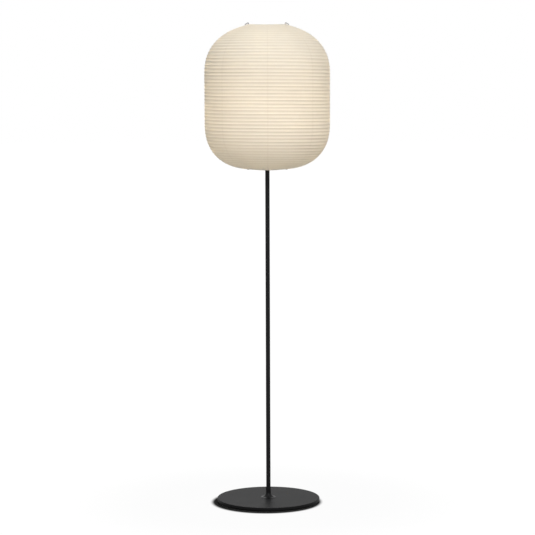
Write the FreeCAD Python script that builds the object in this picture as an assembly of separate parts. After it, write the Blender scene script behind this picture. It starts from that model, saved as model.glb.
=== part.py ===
# Paper lantern floor lamp.
# Millimetres, +Z up, floor at Z = 0, pole axis on X = Y = 0, front of the lamp towards -Y.

import math
import os

import FreeCAD
import Part

V = FreeCAD.Vector
UP = V(0, 0, 1)

# ---- Clearances ----
seat_gap = 0.05         # radial gap of pieces screwed, pressed or glued into each other
moving_gap = 0.3        # gap between pieces that move against each other

# ---- Base ----
base_radius = 141.0
base_thickness = 10.2
base_edge_round = 2.4       # rounded top edge of the disc
base_undercut_width = 3.6   # bevel under the rim
base_undercut_height = 3.2
pad_thickness = 2.8
pad_inset = 4.2             # from the rim of the disc to the pad
pad_width = 14.0
nut_pocket_radius = 17.0
nut_pocket_depth = 6.0

# ---- Cord gland at the back of the base ----
cord_bore_radius = 3.1
gland_wall = 0.9
gland_length = 14.0
gland_lip_thickness = 1.4
gland_collar_thickness = 2.0
gland_collar_step = 1.0

# ---- Threaded tubes, nut and washer (M10 lamp thread) ----
nipple_radius = 5.0
nipple_bore_radius = 3.5
nipple_engagement = 14.0
thread_runout = 2.0
nut_across_flats = 14.0
nut_thickness = 3.2
nipple_end_standing = 0.6
washer_radius = 12.0
washer_thickness = 1.2

# ---- Stem foot ----
foot_radius = 20.5
foot_neck_radius = 6.95
foot_height = 29.0
foot_land = 0.7
foot_socket_depth = 19.0
foot_chamfer = 0.45

# ---- Pole ----
pole_radius = 6.0
pole_bore_radius = 4.4
pole_section_length = 481.0
pole_end_chamfer = 0.25

# ---- Lampholder (E27) ----
cap_neck_radius = 8.5
cap_neck_height = 8.0
cap_radius = 20.5
cap_height = 27.0
cap_floor_height = 9.5
cap_floor_land = 1.0        # flat ring on the floor of the cap, round the nipple
cap_cavity_radius = 14.5
cap_cavity_rise = 4.0
cap_ledge_height = 19.0
cap_wall = 1.8
grub_radius = 2.0
grub_height = 4.0
grub_length = 3.2
block_flange_thickness = 3.6
block_radius = 16.4
block_height = 13.0
sleeve_spigot_depth = 4.2
sleeve_skirt_height = 7.0
sleeve_flange_radius = 24.0
sleeve_flange_thickness = 2.5
sleeve_thread_radius = 19.2
sleeve_thread_length = 21.5
sleeve_bore_radius = 15.5
sleeve_lip_radius = 14.4
sleeve_lip_thickness = 1.5
shell_bore_radius = 13.55
shell_wall = 0.4
shell_height = 23.0
shell_floor_hole_radius = 9.5
contact_width = 5.0
contact_thickness = 0.4
contact_rise = 2.4
contact_reach = 8.5
terminal_offset = 7.5
terminal_width = 5.0
terminal_depth = 6.0
terminal_height = 5.2
terminal_wire_radius = 1.2
terminal_screw_radius = 1.3
terminal_screw_head_radius = 2.3
terminal_screw_head_height = 1.4
terminal_screw_length = 1.3

# ---- Ring that clamps the lantern frame ----
clamp_height = 8.0
clamp_radius = 23.0
clamp_flange_radius = 26.0
clamp_flange_height = 2.2
clamp_flutes = 12
clamp_flute_radius = 1.4

# ---- Bulb (60 mm globe, E27 cap) ----
bulb_radius = 30.0
bulb_length = 104.0
bulb_glass_wall = 1.0
bulb_neck_radius = 12.5
bulb_neck_overlap = 3.0
bulb_cap_radius = 13.15
bulb_cap_wall = 0.5
bulb_cap_top = 27.0
bulb_cap_bottom = 5.6
bulb_button_radius = 4.6
bulb_button_height = 1.2
bulb_insulator_radius = 11.5
bulb_stem_radius = 2.4
bulb_stem_foot_thickness = 2.0
filament_count = 4
filament_radius = 1.0
filament_length = 34.0
filament_circle_radius = 5.6
filament_hub_radius = 7.2
filament_hub_thickness = 1.0

# ---- Lantern frame ----
carrier_thickness = 1.6
carrier_outer_radius = 30.0
carrier_bore_gap = 0.4
carrier_arm_width = 9.0
upright_spread = 47.0       # from the pole axis to each upright
upright_wire_radius = 1.3
hook_spread = 49.5          # from the pole axis to the hook's bend
hook_notch_rise = 1.2
hook_tip_gap = 0.6          # between the hook's tip and the paper under it
top_hook_rise = 7.0         # from the rim wire to the far side of the hook's centre line
top_tip_spread = 60.0       # from the pole axis to the hook's free end
bottom_hook_rise = 4.4
bottom_tip_spread = 55.0
bend_radius = 2.4
rim_radius = 54.0
rim_wire_radius = 1.1

# ---- Paper lantern ----
lantern_radius = 168.8
lantern_bottom_height = 922.1   # centre of the bottom rim wire above the floor
lantern_height = 384.8          # from rim wire to rim wire
top_shoulder_height = 131.0     # from a rim wire to where the wall stands straight
top_shoulder_roundness = 2.3    # exponent of the superellipse, 2 is a plain ellipse
top_neck_pull = 2.6             # how far the rim is drawn out of the shoulder's curve
top_neck_reach = 10.0           # how far round the rim the pull is felt
bottom_shoulder_height = 125.1
bottom_shoulder_roundness = 2.55
bottom_neck_pull = -5.9         # negative, the bottom rim is held back inside the curve
bottom_neck_reach = 28.0
rib_pitch = 9.2                 # spacing of the ribs, measured along the wall
paper_thickness = 0.7
paper_sag = 1.3                 # how far the paper dips between two ribs of the upright wall
paper_sag_lean = 35.0           # degrees from upright past which the paper is drawn straight
shoulder_steps = 400            # points along the fine outline from which the ribs are spaced
neck_ribs = 4                   # the plain inner face follows each of the ribs next to a rim
inner_wall_step = 2             # and then every second rib of a shoulder

# ---- Levels that follow from the sizes ----
plate_bottom = pad_thickness
plate_top = plate_bottom + base_thickness
pocket_ceiling = plate_bottom + nut_pocket_depth
washer_bottom = pocket_ceiling - washer_thickness
nut_bottom = washer_bottom - nut_thickness
foot_top = plate_top + foot_height
foot_socket_floor = foot_top - foot_socket_depth
pole_joint = foot_socket_floor + pole_section_length
pole_top = pole_joint + pole_section_length
block_bottom = pole_top + cap_ledge_height
block_top = block_bottom + block_height
cap_rim = pole_top + cap_height
flange_bottom = cap_rim + sleeve_skirt_height
flange_top = flange_bottom + sleeve_flange_thickness
sleeve_top = flange_top + sleeve_thread_length
carrier_bottom = flange_top + moving_gap
carrier_top = carrier_bottom + carrier_thickness
clamp_bottom = carrier_top + moving_gap
contact_top = block_top + contact_rise + contact_thickness
bulb_tip = contact_top + moving_gap
bottom_rim_level = lantern_bottom_height
top_rim_level = lantern_bottom_height + lantern_height
paper_lift = rim_wire_radius + seat_gap     # from the rim wires' centre line to the paper's inner face
wall_foot = bottom_rim_level + bottom_shoulder_height
wall_head = top_rim_level - top_shoulder_height
top_hook = (top_hook_rise, top_tip_spread)
bottom_hook = (bottom_hook_rise, bottom_tip_spread)
top_shoulder = (top_shoulder_height, top_shoulder_roundness, top_neck_pull, top_neck_reach)
bottom_shoulder = (
    bottom_shoulder_height, bottom_shoulder_roundness, bottom_neck_pull, bottom_neck_reach)
gland_half_width = cord_bore_radius + gland_wall
gland_axis_level = plate_bottom + gland_half_width


def save(shape, name):
    shape.exportStep(os.path.join("parts", name + ".step"))


def closed_outline(points):
    """A flat outline in the XZ plane through (radius, height) points."""
    corners = [V(r, 0, z) for r, z in points]
    return Part.makePolygon(corners + corners[:1])


def turned(points):
    """A solid turned about the pole axis from an outline of (radius, height) points."""
    return Part.Face(closed_outline(points)).revolve(V(0, 0, 0), UP, 360)


def turned_edges(edges):
    return Part.Face(Part.Wire(Part.__sortEdges__(edges))).revolve(V(0, 0, 0), UP, 360)


def chain(points):
    """Straight edges through (radius, height) points."""
    corners = [V(r, 0, z) for r, z in points]
    return [Part.makeLine(a, b) for a, b in zip(corners, corners[1:])]


def arc(start, middle, end):
    return Part.Arc(*[V(r, 0, z) for r, z in (start, middle, end)]).toShape()


def ring(inner, outer, bottom, height):
    return turned([(inner, bottom), (outer, bottom), (outer, bottom + height), (inner, bottom + height)])


def disc(radius, bottom, height):
    return Part.makeCylinder(radius, height, V(0, 0, bottom), UP)


def threaded_tube(bottom, top):
    return ring(nipple_bore_radius, nipple_radius, bottom, top - bottom)


def arch(half_width, back, length):
    """A bar along +Y with a flat underside and a round back, for the cord's way out of the base."""
    level = gland_axis_level
    low = gland_axis_level - gland_half_width
    left = V(-half_width, back, low)
    right = V(half_width, back, low)
    spring_left = V(-half_width, back, level)
    spring_right = V(half_width, back, level)
    crown = Part.Arc(spring_right, V(0, back, level + half_width), spring_left).toShape()
    edges = [
        Part.makeLine(left, right),
        Part.makeLine(right, spring_right),
        crown,
        Part.makeLine(spring_left, left),
    ]
    return Part.Face(Part.Wire(edges)).extrude(V(0, length, 0))


# ---- Base ----

def base_plate():
    round_centre = (base_radius - base_edge_round, plate_top - base_edge_round)
    diagonal = base_edge_round * math.sqrt(0.5)
    edges = chain([
        (base_radius - base_edge_round, plate_top),
        (0, plate_top),
        (0, plate_bottom),
        (base_radius - base_undercut_width, plate_bottom),
        (base_radius, plate_bottom + base_undercut_height),
        (base_radius, plate_top - base_edge_round),
    ])
    edges.append(arc(
        (base_radius, round_centre[1]),
        (round_centre[0] + diagonal, round_centre[1] + diagonal),
        (round_centre[0], plate_top),
    ))
    plate = turned_edges(edges)
    pocket = disc(nut_pocket_radius, plate_bottom, nut_pocket_depth)
    nipple_hole = disc(nipple_radius + moving_gap, plate_bottom, base_thickness)
    channel = arch(gland_half_width + seat_gap, 0, base_radius)
    collar_slot = arch(
        gland_half_width + gland_collar_step + seat_gap,
        base_radius - gland_length - seat_gap,
        gland_collar_thickness + 2 * seat_gap,
    )
    return plate.cut([pocket, nipple_hole, channel, collar_slot])


def base_pad():
    outer = base_radius - pad_inset
    return ring(outer - pad_width, outer, 0, pad_thickness)


def cord_gland():
    back = base_radius - gland_length
    body = arch(gland_half_width, back, gland_length + seat_gap + gland_lip_thickness)
    collar = arch(gland_half_width + gland_collar_step, back, gland_collar_thickness)
    lip = arch(gland_half_width + gland_collar_step, base_radius + seat_gap, gland_lip_thickness)
    length = gland_length + seat_gap + gland_lip_thickness
    bore = Part.makeCylinder(cord_bore_radius, length, V(0, back, gland_axis_level), V(0, 1, 0))
    return body.fuse([collar, lip]).cut(bore).removeSplitter()


def hexagon_nut(bottom):
    corner = nut_across_flats / math.sqrt(3)
    corners = [
        V(corner * math.cos(math.radians(60 * i)), corner * math.sin(math.radians(60 * i)), bottom)
        for i in range(6)
    ]
    body = Part.Face(Part.makePolygon(corners + corners[:1])).extrude(V(0, 0, nut_thickness))
    return body.cut(disc(nipple_radius + seat_gap, bottom, nut_thickness))


def base_washer():
    return ring(nipple_radius + moving_gap, washer_radius, washer_bottom, washer_thickness)


def stem_foot():
    flare = foot_radius - foot_neck_radius
    flare_top = plate_top + foot_land + flare
    lean = flare * math.sqrt(0.5)
    socket_radius = pole_radius + seat_gap
    hole_radius = nipple_radius + seat_gap
    edges = [arc(
        (foot_radius, plate_top + foot_land),
        (foot_radius - lean, flare_top - lean),
        (foot_neck_radius, flare_top),
    )]
    edges += chain([
        (foot_neck_radius, flare_top),
        (foot_neck_radius, foot_top - foot_chamfer),
        (foot_neck_radius - foot_chamfer, foot_top),
        (socket_radius, foot_top),
        (socket_radius, foot_socket_floor),
        (hole_radius, foot_socket_floor),
        (hole_radius, plate_top),
        (foot_radius, plate_top),
        (foot_radius, plate_top + foot_land),
    ])
    return turned_edges(edges)


# ---- Pole ----

def pole_section(bottom):
    top = bottom + pole_section_length
    thread_radius = nipple_radius + seat_gap
    thread_depth = nipple_engagement + thread_runout
    edge = pole_radius - pole_end_chamfer
    return turned([
        (thread_radius, bottom),
        (edge, bottom),
        (pole_radius, bottom + pole_end_chamfer),
        (pole_radius, top - pole_end_chamfer),
        (edge, top),
        (thread_radius, top),
        (thread_radius, top - thread_depth),
        (pole_bore_radius, top - thread_depth),
        (pole_bore_radius, bottom + thread_depth),
        (thread_radius, bottom + thread_depth),
    ])


# ---- Lampholder ----

def holder_cap():
    dome = cap_radius - cap_neck_radius
    lean = dome * math.sqrt(0.5)
    neck_top = pole_top + cap_neck_height
    shoulder = neck_top + dome
    cavity_foot = pole_top + cap_floor_height
    hole_radius = nipple_radius + seat_gap
    edges = [arc(
        (cap_neck_radius, neck_top),
        (cap_neck_radius + lean, shoulder - lean),
        (cap_radius, shoulder),
    )]
    edges += chain([
        (cap_radius, shoulder),
        (cap_radius, cap_rim),
        (cap_radius - cap_wall, cap_rim),
        (cap_radius - cap_wall, block_bottom),
        (cap_cavity_radius, block_bottom),
        (cap_cavity_radius, cavity_foot + cap_cavity_rise),
        (hole_radius + cap_floor_land, cavity_foot),
        (hole_radius, cavity_foot),
        (hole_radius, pole_top),
        (cap_neck_radius, pole_top),
        (cap_neck_radius, neck_top),
    ])
    cap = turned_edges(edges)
    screw_hole = Part.makeCylinder(
        grub_radius + seat_gap, cap_neck_radius, V(0, 0, pole_top + grub_height), V(0, -1, 0))
    return cap.cut(screw_hole)


def holder_grub_screw():
    start = nipple_radius + seat_gap
    level = pole_top + grub_height
    screw = Part.makeCylinder(grub_radius, grub_length, V(0, -start, level), V(0, -1, 0))
    slot_depth = grub_length / 4
    slot = Part.makeBox(
        grub_radius * 2, slot_depth, grub_radius * 0.3,
        V(-grub_radius, -start - grub_length, level - grub_radius * 0.15))
    return screw.cut(slot)


def terminal_block():
    flange_radius = cap_radius - cap_wall - seat_gap
    return turned([
        (0, block_bottom),
        (flange_radius, block_bottom),
        (flange_radius, block_bottom + block_flange_thickness),
        (block_radius, block_bottom + block_flange_thickness),
        (block_radius, block_top),
        (0, block_top),
    ])


def wire_terminals():
    pair = []
    for side in (-1, 1):
        x = side * terminal_offset
        corner = V(x - terminal_width / 2, -terminal_depth / 2, block_bottom - terminal_height)
        block = Part.makeBox(terminal_width, terminal_depth, terminal_height, corner)
        wire_hole = Part.makeCylinder(
            terminal_wire_radius, terminal_depth,
            V(x, -terminal_depth / 2, block_bottom - terminal_height / 3), V(0, 1, 0))
        screw_hole = Part.makeCylinder(
            terminal_screw_radius + seat_gap, terminal_screw_length + seat_gap,
            V(x, 0, block_bottom - terminal_height), UP)
        pair.append(block.cut([wire_hole, screw_hole]))
    return Part.makeCompound(pair)


def terminal_screws():
    pair = []
    for side in (-1, 1):
        x = side * terminal_offset
        seat = block_bottom - terminal_height
        head_bottom = V(x, 0, seat - terminal_screw_head_height)
        head = Part.makeCylinder(terminal_screw_head_radius, terminal_screw_head_height, head_bottom, UP)
        shank = Part.makeCylinder(terminal_screw_radius, terminal_screw_length, V(x, 0, seat), UP)
        pair.append(head.fuse(shank))
    return Part.makeCompound(pair)


def holder_sleeve():
    spigot_radius = cap_radius - cap_wall - seat_gap
    inner = block_radius + seat_gap
    return turned([
        (inner, cap_rim - sleeve_spigot_depth),
        (spigot_radius, cap_rim - sleeve_spigot_depth),
        (spigot_radius, cap_rim),
        (cap_radius, cap_rim),
        (cap_radius, flange_bottom),
        (sleeve_flange_radius, flange_bottom),
        (sleeve_flange_radius, flange_top),
        (sleeve_thread_radius, flange_top),
        (sleeve_thread_radius, sleeve_top),
        (sleeve_lip_radius, sleeve_top),
        (sleeve_lip_radius, sleeve_top - sleeve_lip_thickness),
        (sleeve_bore_radius, sleeve_top - sleeve_lip_thickness),
        (sleeve_bore_radius, block_top),
        (inner, block_top),
    ])


def screw_shell():
    outer = shell_bore_radius + shell_wall
    return turned([
        (shell_floor_hole_radius, block_top),
        (outer, block_top),
        (outer, block_top + shell_height),
        (shell_bore_radius, block_top + shell_height),
        (shell_bore_radius, block_top + shell_wall),
        (shell_floor_hole_radius, block_top + shell_wall),
    ])


def centre_contact():
    foot_end = -contact_reach / 2
    tongue_start = -contact_reach / 5
    tongue_end = contact_reach / 3
    lower = [
        (-contact_reach, block_top),
        (foot_end, block_top),
        (tongue_start, block_top + contact_rise),
        (tongue_end, block_top + contact_rise),
    ]
    upper = [(x, z + contact_thickness) for x, z in reversed(lower)]
    face = Part.Face(closed_outline(lower + upper))
    face.translate(V(0, -contact_width / 2, 0))
    return face.extrude(V(0, contact_width, 0))


def clamp_ring():
    bore = sleeve_thread_radius + moving_gap
    body = turned([
        (bore, clamp_bottom),
        (clamp_flange_radius, clamp_bottom),
        (clamp_flange_radius, clamp_bottom + clamp_flange_height),
        (clamp_radius, clamp_bottom + clamp_flange_height),
        (clamp_radius, clamp_bottom + clamp_height),
        (bore, clamp_bottom + clamp_height),
    ])
    flutes = []
    for i in range(clamp_flutes):
        turn = 2 * math.pi * i / clamp_flutes
        foot = V(math.cos(turn), math.sin(turn), 0) * (clamp_radius + clamp_flute_radius / 2)
        foot.z = clamp_bottom + clamp_flange_height
        flutes.append(Part.makeCylinder(clamp_flute_radius, clamp_height, foot, UP))
    return body.cut(flutes)


# ---- Bulb ----

def globe_solid(radius, neck_radius, foot, neck_top):
    """Neck, cone and round head of the bulb, the cone running tangent into the head."""
    centre = bulb_tip + bulb_length - bulb_radius
    drop = centre - neck_top
    reach = math.hypot(neck_radius, drop)
    towards = math.atan2(-drop, neck_radius)
    swing = math.acos(radius / reach)
    touch_angle = towards + swing
    top_angle = math.pi / 2
    middle_angle = (touch_angle + top_angle) / 2
    start, middle = [
        (radius * math.cos(a), centre + radius * math.sin(a)) for a in (touch_angle, middle_angle)
    ]
    end = (0, centre + radius)
    edges = [arc(start, middle, end)]
    edges += chain([end, (0, foot), (neck_radius, foot), (neck_radius, neck_top), start])
    return turned_edges(edges)


def bulb_globe():
    cap_top = bulb_tip + bulb_cap_top
    foot = cap_top - bulb_neck_overlap
    wall = bulb_glass_wall
    outer = globe_solid(bulb_radius, bulb_neck_radius, foot, cap_top + wall)
    inner = globe_solid(bulb_radius - wall, bulb_neck_radius - wall, foot, cap_top + wall)
    return outer.cut(inner)


def bulb_cap():
    bottom = bulb_tip + bulb_cap_bottom
    top = bulb_tip + bulb_cap_top
    inner = bulb_cap_radius - bulb_cap_wall
    return turned([
        (bulb_insulator_radius - bulb_cap_wall, bottom),
        (bulb_insulator_radius, bottom),
        (bulb_cap_radius, bottom + 2 * bulb_cap_wall),
        (bulb_cap_radius, top),
        (inner, top),
        (inner, bottom + 3 * bulb_cap_wall),
        (bulb_insulator_radius - bulb_cap_wall, bottom + bulb_cap_wall),
    ])


def bulb_insulator():
    return turned([
        (0, bulb_tip + bulb_button_height),
        (bulb_button_radius, bulb_tip + bulb_button_height),
        (bulb_insulator_radius, bulb_tip + bulb_cap_bottom),
        (0, bulb_tip + bulb_cap_bottom),
    ])


def bulb_button():
    return disc(bulb_button_radius, bulb_tip, bulb_button_height)


def filament_foot_level():
    globe_centre = bulb_tip + bulb_length - bulb_radius
    return globe_centre - filament_length / 2


def bulb_stem():
    """Glass foot sealed in the neck, with the column and the two hubs that hold the filaments."""
    foot = bulb_tip + bulb_cap_top - bulb_neck_overlap
    lower_hub = filament_foot_level() - filament_hub_thickness
    upper_hub = filament_foot_level() + filament_length
    top = upper_hub + filament_hub_thickness
    foot_radius_inside = bulb_neck_radius - bulb_glass_wall - seat_gap
    return turned([
        (0, foot),
        (foot_radius_inside, foot),
        (foot_radius_inside, foot + bulb_stem_foot_thickness),
        (bulb_stem_radius, foot + 3 * bulb_stem_foot_thickness),
        (bulb_stem_radius, lower_hub),
        (filament_hub_radius, lower_hub),
        (filament_hub_radius, lower_hub + filament_hub_thickness),
        (bulb_stem_radius, lower_hub + filament_hub_thickness),
        (bulb_stem_radius, upper_hub),
        (filament_hub_radius, upper_hub),
        (filament_hub_radius, top),
        (0, top),
    ])


def bulb_filaments():
    rods = []
    for i in range(filament_count):
        turn = 2 * math.pi * (i + 0.5) / filament_count
        foot = V(math.cos(turn), math.sin(turn), 0) * filament_circle_radius
        foot.z = filament_foot_level()
        rods.append(Part.makeCylinder(filament_radius, filament_length, foot, UP))
    return Part.makeCompound(rods)


# ---- Lantern frame ----

def shoulder_rise(radius, shoulder):
    """How far a shoulder has left the straight wall at a radius: a superellipse with a drawn neck."""
    height, roundness, pull, reach = shoulder

    def share(r):
        return max(1 - (r / lantern_radius) ** roundness, 0) ** (1 / roundness)
    neck = pull * math.exp((rim_radius - radius) / reach)
    return (height - pull) * share(radius) / share(rim_radius) + neck


def frame_carrier():
    """Stamped plate held by the clamp ring, with an arm out to each upright."""
    plate = disc(carrier_outer_radius, carrier_bottom, carrier_thickness)
    arm = Part.makeBox(
        2 * upright_spread, carrier_arm_width, carrier_thickness,
        V(-upright_spread, -carrier_arm_width / 2, carrier_bottom))
    ends = []
    holes = [disc(sleeve_thread_radius + carrier_bore_gap, carrier_bottom, carrier_thickness)]
    for side in (-1, 1):
        centre = V(side * upright_spread, 0, carrier_bottom)
        ends.append(Part.makeCylinder(carrier_arm_width / 2, carrier_thickness, centre, UP))
        holes.append(Part.makeCylinder(upright_wire_radius + seat_gap, carrier_thickness, centre, UP))
    return plate.fuse([arm] + ends).cut(holes).removeSplitter()


def bent_wire(points, radius):
    """Six-sided wire along straight runs in the XZ plane with a round bend at every corner."""
    corners = [V(x, 0, z) for x, z in points]
    edges = []
    last = corners[0]
    for before, corner, after in zip(corners, corners[1:], corners[2:]):
        back = (before - corner).normalize()
        ahead = (after - corner).normalize()
        half_turn = (math.pi - back.getAngle(ahead)) / 2
        shorter_run = min((before - corner).Length, (after - corner).Length)
        trim = min(bend_radius * math.tan(half_turn), shorter_run * 0.45)
        bend = trim / math.tan(half_turn)
        start = corner + back * trim
        end = corner + ahead * trim
        inward = (back + ahead).normalize()
        middle = corner + inward * (math.hypot(bend, trim) - bend)
        edges += [Part.makeLine(last, start), Part.Arc(start, middle, end).toShape()]
        last = end
    edges.append(Part.makeLine(last, corners[-1]))
    along = (corners[1] - corners[0]).normalize()
    across = along.cross(V(0, 1, 0))
    section = [
        corners[0] + (across * math.cos(a) + V(0, 1, 0) * math.sin(a)) * radius
        for a in [math.pi * i / 3 for i in range(6)]
    ]
    profile = Part.makePolygon(section + section[:1])
    return Part.Wire(edges).makePipeShell([profile], True, False)


def hook_points(rim_level, outwards, hook, shoulder):
    """Hook from its free tip to its knee: over the rim wire, into the notch, under the rim wire."""
    hook_rise, tip_spread = hook
    knee_drop = rim_wire_radius + upright_wire_radius + seat_gap
    paper_rise = shoulder_rise(tip_spread, shoulder) - shoulder_rise(rim_radius, shoulder)
    paper_face = paper_rise + paper_lift + paper_thickness
    tip_rise = paper_face + upright_wire_radius + hook_tip_gap
    return [
        (tip_spread, rim_level + outwards * tip_rise),
        (hook_spread, rim_level + outwards * hook_rise),
        (hook_spread, rim_level + outwards * hook_notch_rise),
        (rim_radius - rim_wire_radius, rim_level - outwards * knee_drop),
        (upright_spread, rim_level - outwards * (knee_drop + rim_wire_radius + 3 * upright_wire_radius)),
    ]


def frame_upright(side):
    top = hook_points(top_rim_level, 1, top_hook, top_shoulder)
    bottom = hook_points(bottom_rim_level, -1, bottom_hook, bottom_shoulder)
    path = top + bottom[::-1]
    return bent_wire([(side * x, z) for x, z in path], upright_wire_radius)


def rim_wire(level):
    section = [
        (rim_radius + rim_wire_radius * math.cos(a), level + rim_wire_radius * math.sin(a))
        for a in [math.pi * (i + 0.5) / 3 for i in range(6)]
    ]
    return turned(section)


# ---- Paper lantern ----

def shoulder_curve(shoulder):
    """Half outline of a shoulder as (radius, height above the straight wall), wall first."""
    roundness = shoulder[1]
    last = math.acos((rim_radius / lantern_radius) ** (roundness / 2))
    points = []
    for i in range(shoulder_steps + 1):
        radius = lantern_radius * math.cos(last * i / shoulder_steps) ** (2 / roundness)
        points.append((radius, shoulder_rise(radius, shoulder)))
    return points


def lantern_meridian():
    """Fine outline of the lantern from its bottom rim to its top rim."""
    below = [(r, wall_foot - h) for r, h in reversed(shoulder_curve(bottom_shoulder))]
    above = [(r, wall_head + h) for r, h in shoulder_curve(top_shoulder)]
    return below + above


def rib_points():
    """Where the ribs cross the outline: evenly spaced along it, a rib at each rim."""
    line = lantern_meridian()
    lengths = [0.0]
    for a, b in zip(line, line[1:]):
        lengths.append(lengths[-1] + math.dist(a, b))
    bays = round(lengths[-1] / rib_pitch)
    ribs = []
    k = 0
    for i in range(bays + 1):
        target = lengths[-1] * i / bays
        while k < len(lengths) - 2 and lengths[k + 1] < target:
            k += 1
        share = (target - lengths[k]) / (lengths[k + 1] - lengths[k])
        a, b = line[k], line[k + 1]
        ribs.append((a[0] + (b[0] - a[0]) * share, a[1] + (b[1] - a[1]) * share))
    return ribs


def offset_outline(points, distance):
    """The outline moved square to itself, outwards for a positive distance."""
    moved = []
    for i, point in enumerate(points):
        before = points[max(i - 1, 0)]
        after = points[min(i + 1, len(points) - 1)]
        run = math.dist(before, after)
        moved.append((
            point[0] + distance * (after[1] - before[1]) / run,
            point[1] - distance * (after[0] - before[0]) / run,
        ))
    return moved


def paper_lantern():
    """Paper wall with a crest at every rib, drawn over the rim wires at both ends."""
    ribs = rib_points()
    crests = offset_outline(ribs, paper_lift + paper_thickness)
    outside = [crests[0]]
    for low, high in zip(crests, crests[1:]):
        run = math.dist(low, high)
        across = ((high[1] - low[1]) / run, (low[0] - high[0]) / run)
        lean = math.degrees(math.acos(min(across[0], 1)))
        if lean < paper_sag_lean:
            outside.append((
                (low[0] + high[0]) / 2 - across[0] * paper_sag,
                (low[1] + high[1]) / 2 - across[1] * paper_sag,
            ))
        outside.append(high)
    last = len(ribs) - 1
    wall = [i for i, point in enumerate(ribs) if wall_foot <= point[1] <= wall_head]
    below = list(range(neck_ribs))
    below += range(neck_ribs, wall[0], inner_wall_step)
    above = [last - i for i in range(neck_ribs)]
    above += range(last - neck_ribs, wall[-1], -inner_wall_step)
    chosen = [ribs[i] for i in below + [wall[0], wall[-1]] + above[::-1]]
    taut = offset_outline(chosen, paper_lift)
    slack = offset_outline(chosen, paper_lift - paper_sag)
    inside = taut[:neck_ribs] + slack[neck_ribs:-neck_ribs] + taut[-neck_ribs:]
    return turned(outside + inside[::-1])


def main():
    os.makedirs("parts", exist_ok=True)
    save(base_plate(), "base_plate")
    save(base_pad(), "base_pad")
    save(cord_gland(), "cord_gland")
    save(hexagon_nut(nut_bottom), "base_nut")
    save(base_washer(), "base_washer")
    nipple_bottom = nut_bottom - nipple_end_standing
    save(threaded_tube(nipple_bottom, foot_socket_floor + nipple_engagement), "base_nipple")
    save(stem_foot(), "stem_foot")
    save(pole_section(foot_socket_floor), "lower_tube")
    save(threaded_tube(pole_joint - nipple_engagement, pole_joint + nipple_engagement), "pole_joiner")
    save(pole_section(pole_joint), "upper_tube")
    save(threaded_tube(pole_top - nipple_engagement, pole_top + cap_floor_height), "top_nipple")
    save(holder_cap(), "holder_cap")
    save(holder_grub_screw(), "holder_grub_screw")
    save(terminal_block(), "terminal_block")
    save(wire_terminals(), "wire_terminals")
    save(terminal_screws(), "terminal_screws")
    save(holder_sleeve(), "holder_sleeve")
    save(screw_shell(), "screw_shell")
    save(centre_contact(), "centre_contact")
    save(clamp_ring(), "clamp_ring")
    save(bulb_globe(), "bulb_globe")
    save(bulb_cap(), "bulb_cap")
    save(bulb_insulator(), "bulb_insulator")
    save(bulb_button(), "bulb_button")
    save(bulb_stem(), "bulb_stem")
    save(bulb_filaments(), "bulb_filaments")
    save(frame_carrier(), "frame_carrier")
    save(frame_upright(-1), "frame_upright_left")
    save(frame_upright(1), "frame_upright_right")
    save(rim_wire(top_rim_level), "top_rim_wire")
    save(rim_wire(bottom_rim_level), "bottom_rim_wire")
    save(paper_lantern(), "paper_lantern")


main()
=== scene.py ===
# Paper lantern floor lamp: the looks of every piece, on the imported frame.
# Metres, +Z up, floor at Z = 0, front of the lamp towards -Y.

import math
import random

import bpy
import numpy as np
from mathutils import Matrix, Vector


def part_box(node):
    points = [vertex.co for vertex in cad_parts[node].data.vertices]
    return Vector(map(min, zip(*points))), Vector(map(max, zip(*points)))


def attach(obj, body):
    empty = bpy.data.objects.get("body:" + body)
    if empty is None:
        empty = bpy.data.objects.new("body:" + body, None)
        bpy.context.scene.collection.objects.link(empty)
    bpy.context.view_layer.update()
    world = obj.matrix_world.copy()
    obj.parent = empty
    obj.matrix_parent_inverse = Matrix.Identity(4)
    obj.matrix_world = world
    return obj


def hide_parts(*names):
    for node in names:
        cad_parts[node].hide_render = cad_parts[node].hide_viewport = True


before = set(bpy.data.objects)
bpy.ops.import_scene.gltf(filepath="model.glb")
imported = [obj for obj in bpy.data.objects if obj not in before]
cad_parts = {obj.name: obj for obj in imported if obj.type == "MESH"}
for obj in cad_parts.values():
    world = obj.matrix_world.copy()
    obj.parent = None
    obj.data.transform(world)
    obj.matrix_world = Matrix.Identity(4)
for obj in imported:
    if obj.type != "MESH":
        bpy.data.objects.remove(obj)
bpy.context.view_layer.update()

bl_info = {
    "name": "Paper Lantern Floor Lamp",
    "version": (1, 0, 0),
    "blender": (4, 5, 0),
    "location": "View3D > Sidebar > Lamp",
    "description": "Ribbed paper lantern, wires, bulb and finishes of a slim floor lamp",
    "category": "Object",
}

FINISH_PREFIX = "finish_"
PAPER_UV = "around_and_turns"       # the share of the way round, and the rib's turns so far

MM = 0.001
MM_PER_METRE = 1000.0
SENSOR_WIDTH_MM = 36
WHITE = (1, 1, 1, 1)
NOISE_MIDDLE = 0.5

FULL_TURN = 2 * math.pi
START_ANGLE = math.pi / 2           # the rib is wound from the back of the lantern
TOUCH_GAP = 0.05 * MM               # between two pieces that lie against each other
WIRE_WELD = 0.001 * MM              # points nearer than this are joined
PAPER_WELD = 0.002 * MM
WIRE_CREASE = math.radians(50)      # edges sharper than this stay sharp
SKIN_CREASE = math.radians(60)

paper_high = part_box("paper_lantern")[1]
top_rim_low, top_rim_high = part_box("top_rim_wire")
bottom_rim_low, bottom_rim_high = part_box("bottom_rim_wire")


# ---- Sizes and colours that can be set ----

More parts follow.
